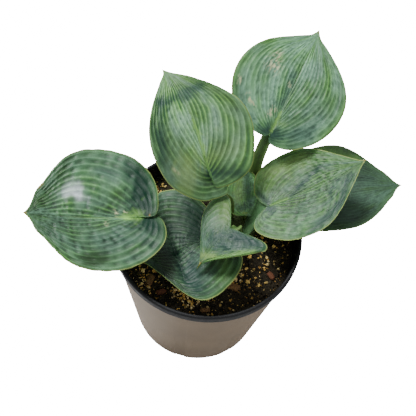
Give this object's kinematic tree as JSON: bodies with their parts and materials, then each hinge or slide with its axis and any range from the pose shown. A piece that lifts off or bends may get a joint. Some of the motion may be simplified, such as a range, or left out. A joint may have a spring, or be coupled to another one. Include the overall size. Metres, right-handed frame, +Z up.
{
  "type": "potted hosta plant",
  "caption": "Young blue-green hosta with broad heart-shaped leaves on channelled stalks, rooted in growing mix in a round, tapered black nursery pot.",
  "frame": {"origin": "centre of the pot's flat underside, on the surface the pot stands on", "axes": "+Z up along the pot's axis; -Y towards the front, where the low front leaf hangs over the mix; +X towards the two right-hand leaves"},
  "size_m": [0.3023, 0.2406, 0.2494],
  "materials": {
    "pot_plastic": "matt black moulded plastic, dusty taupe on the outer wall",
    "mix": "damp dark peat and bark mix, crumbly",
    "crown_tissue": "fibrous, satin",
    "blade_green": "waxy blue-green bloom over a ribbed, puckered leaf",
    "stalk_green": "smooth satin green",
    "dry_sheath": "dry papery tan",
    "bark": "rough red-brown bark",
    "perlite": "rough cream mineral grain"
  },
  "bodies": {
    "root": {"pot": "pot_plastic", "growing_mix": "mix", "crown_front": "crown_tissue", "crown_back": "crown_tissue", "blade_left": "blade_green", "blade_back": "blade_green", "blade_back_right": "blade_green", "blade_right": "blade_green", "blade_far_right": "blade_green", "blade_inner_front": "blade_green", "blade_low_front": "blade_green", "blade_inner_back": "blade_green", "stalk_left": "stalk_green", "stalk_back": "stalk_green", "stalk_back_right": "stalk_green", "stalk_right": "stalk_green", "stalk_far_right": "stalk_green", "stalk_inner_front": "stalk_green", "stalk_low_front": "stalk_green", "stalk_inner_back": "stalk_green", "sheath_front": "dry_sheath", "bark_chip_1": "bark", "bark_chip_2": "bark", "bark_chip_3": "bark", "bark_chip_4": "bark", "bark_chip_5": "bark", "bark_chip_6": "bark", "grain_01": "perlite", "grain_02": "perlite", "grain_03": "perlite", "grain_04": "perlite", "grain_05": "perlite", "grain_06": "perlite", "grain_07": "perlite", "grain_08": "perlite", "grain_09": "perlite", "grain_10": "perlite", "grain_11": "perlite", "grain_12": "perlite", "grain_13": "perlite", "grain_14": "perlite", "grain_15": "perlite"}
  },
  "joints": []
}
